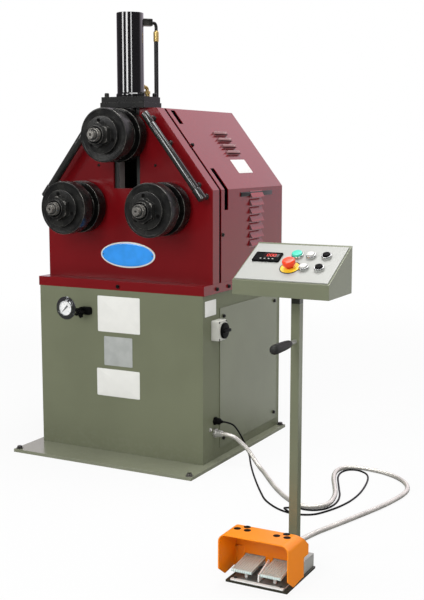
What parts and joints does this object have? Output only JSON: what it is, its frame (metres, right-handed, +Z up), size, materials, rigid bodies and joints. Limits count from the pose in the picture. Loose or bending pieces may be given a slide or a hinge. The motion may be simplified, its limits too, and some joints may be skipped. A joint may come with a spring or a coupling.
{
  "type": "angle roll bender",
  "caption": "Floor-standing hydraulic section bending machine with overhung rolls on a slanted-shoulder frame, a cabinet base, a separate control stand and a guarded foot pedal.",
  "frame": {"origin": "on the floor, at the centre of the machine's anchor hole pattern", "axes": "+Z up; the rolls face -Y, towards the operator; +X to the machine's right, where the stand is"},
  "size_m": [1.5155, 1.562, 1.65],
  "materials": {
    "base_paint": "satin floor plate paint",
    "olive_paint": "satin olive grey paint",
    "red_paint": "semi-gloss burgundy paint",
    "black_oxide": "black oxide, oiled",
    "barrel_paint": "gloss black paint",
    "bright_steel": "machined steel",
    "machine_grey": "grey paint",
    "brass": "dull brass",
    "hose_rubber": "matt",
    "gauge_chrome": "bright",
    "pointer_black": "matt",
    "black_plastic": "matt",
    "cable_black": "matt",
    "conduit_metal": "dull",
    "grey_plastic": "matt",
    "panel_grey": "satin",
    "bezel": "bright",
    "red_plastic": "gloss",
    "green_plastic": "gloss",
    "white_plastic": "gloss",
    "pedal_grey": "cast, painted light grey",
    "guard_orange": "gloss orange paint"
  },
  "bodies": {
    "machine": {"base_plate": "base_paint", "cabinet_shell": "olive_paint", "side_access_panel": "olive_paint", "top_skirt": "red_paint", "front_plate": "red_paint", "rear_plate": "bright_steel", "housing_shell": "red_paint", "gib_strips": "black_oxide", "shaft_bearings": "bright_steel", "drive_motor": "machine_grey", "hydraulic_unit": "machine_grey", "mount_plate": "black_oxide", "cylinder_flange": "black_oxide", "cylinder_barrel": "barrel_paint", "port_fittings": "brass", "pressure_hose": "hose_rubber", "guide_rods": "bright_steel", "gauge_case": "gauge_chrome", "isolator_body": "grey_plastic", "cable_gland": "black_plastic", "conduit_connector": "conduit_metal", "control_cable": "cable_black", "pedal_conduit": "conduit_metal", "stand": "olive_paint", "handle_grip": "hose_rubber", "console_box": "olive_paint", "console_panel": "panel_grey", "panel_meter": "black_plastic", "button_bezels": "bezel", "pedal_base": "pedal_grey", "pedal_guard": "guard_orange", "pedal_pin": "bright_steel"},
    "ram": {"ram_block": "black_oxide", "piston_rod": "bright_steel"},
    "top_roll": {"top_shaft": "black_oxide", "top_inner_disc": "black_oxide", "top_outer_disc": "black_oxide", "top_nut": "black_oxide"},
    "left_roll": {"left_shaft": "black_oxide", "left_inner_disc": "black_oxide", "left_outer_disc": "black_oxide", "left_nut": "black_oxide", "left_gear": "bright_steel"},
    "right_roll": {"right_shaft": "black_oxide", "right_inner_disc": "black_oxide", "right_outer_disc": "black_oxide", "right_nut": "black_oxide", "right_gear": "bright_steel"},
    "pinion": {"drive_pinion": "bright_steel"},
    "pointer": {"gauge_needle": "pointer_black"},
    "valve": {"valve_knob": "black_plastic"},
    "isolator": {"isolator_knob": "black_plastic"},
    "estop": {"estop_button": "red_plastic"},
    "start": {"start_button": "green_plastic"},
    "white_front": {"white_button_front": "white_plastic"},
    "white_rear": {"white_button_rear": "white_plastic"},
    "black_front": {"black_button_front": "black_plastic"},
    "black_rear": {"black_button_rear": "black_plastic"},
    "pedal_left": {"left_pedal": "pedal_grey"},
    "pedal_right": {"right_pedal": "pedal_grey"}
  },
  "joints": [
    {"name": "ram_slide", "type": "slide", "parent": "machine", "child": "ram", "axis": [0, 0, -1], "range_m": [0, 0.105]},
    {"name": "top_roll_spin", "type": "hinge", "parent": "ram", "child": "top_roll", "pos_m": [0, 0, 1.205], "axis": [0, 1, 0], "continuous": true},
    {"name": "right_roll_spin", "type": "hinge", "parent": "machine", "child": "right_roll", "pos_m": [0.183, 0, 0.94], "axis": [0, 1, 0], "continuous": true},
    {"name": "left_roll_spin", "type": "hinge", "parent": "machine", "child": "left_roll", "pos_m": [-0.183, 0, 0.94], "axis": [0, 1, 0], "continuous": true},
    {"name": "pinion_spin", "type": "hinge", "parent": "machine", "child": "pinion", "pos_m": [0, 0, 0.94], "axis": [0, 1, 0], "continuous": true},
    {"name": "gauge_pointer_turn", "type": "hinge", "parent": "machine", "child": "pointer", "pos_m": [-0.237, 0, 0.552], "axis": [0, 1, 0], "range_deg": [0, 270]},
    {"name": "valve_knob_turn", "type": "hinge", "parent": "machine", "child": "valve", "pos_m": [-0.152, 0, 0.546], "axis": [0, 1, 0], "range_deg": [0, 720]},
    {"name": "isolator_turn", "type": "hinge", "parent": "machine", "child": "isolator", "pos_m": [0, -0.165, 0.5], "axis": [1, 0, 0], "range_deg": [0, 90]},
    {"name": "estop_press", "type": "slide", "parent": "machine", "child": "estop", "axis": [0, 0.466, -0.8848], "range_m": [0, 0.005]},
    {"name": "start_press", "type": "slide", "parent": "machine", "child": "start", "axis": [0, 0.466, -0.8848], "range_m": [0, 0.004], "stiffness_N_per_m": 400, "springref_m": -0.004},
    {"name": "white_front_press", "type": "slide", "parent": "machine", "child": "white_front", "axis": [0, 0.466, -0.8848], "range_m": [0, 0.004], "stiffness_N_per_m": 400, "springref_m": -0.004},
    {"name": "white_rear_press", "type": "slide", "parent": "machine", "child": "white_rear", "axis": [0, 0.466, -0.8848], "range_m": [0, 0.004], "stiffness_N_per_m": 400, "springref_m": -0.004},
    {"name": "black_front_press", "type": "slide", "parent": "machine", "child": "black_front", "axis": [0, 0.466, -0.8848], "range_m": [0, 0.004], "stiffness_N_per_m": 400, "springref_m": -0.004},
    {"name": "black_rear_press", "type": "slide", "parent": "machine", "child": "black_rear", "axis": [0, 0.466, -0.8848], "range_m": [0, 0.004], "stiffness_N_per_m": 400, "springref_m": -0.004},
    {"name": "left_pedal_press", "type": "hinge", "parent": "machine", "child": "pedal_left", "pos_m": [0.935, -1.018, 0.044], "axis": [1, 0, 0], "range_deg": [0, 8], "stiffness_Nm_per_rad": 3, "springref_deg": -14.32},
    {"name": "right_pedal_press", "type": "hinge", "parent": "machine", "child": "pedal_right", "pos_m": [1.019, -1.018, 0.044], "axis": [1, 0, 0], "range_deg": [0, 8], "stiffness_Nm_per_rad": 3, "springref_deg": -14.32}
  ],
  "couplings": [
    {"joint": "left_roll_spin", "follows": "right_roll_spin", "ratio": 1},
    {"joint": "pinion_spin", "follows": "right_roll_spin", "ratio": -1.9048}
  ]
}
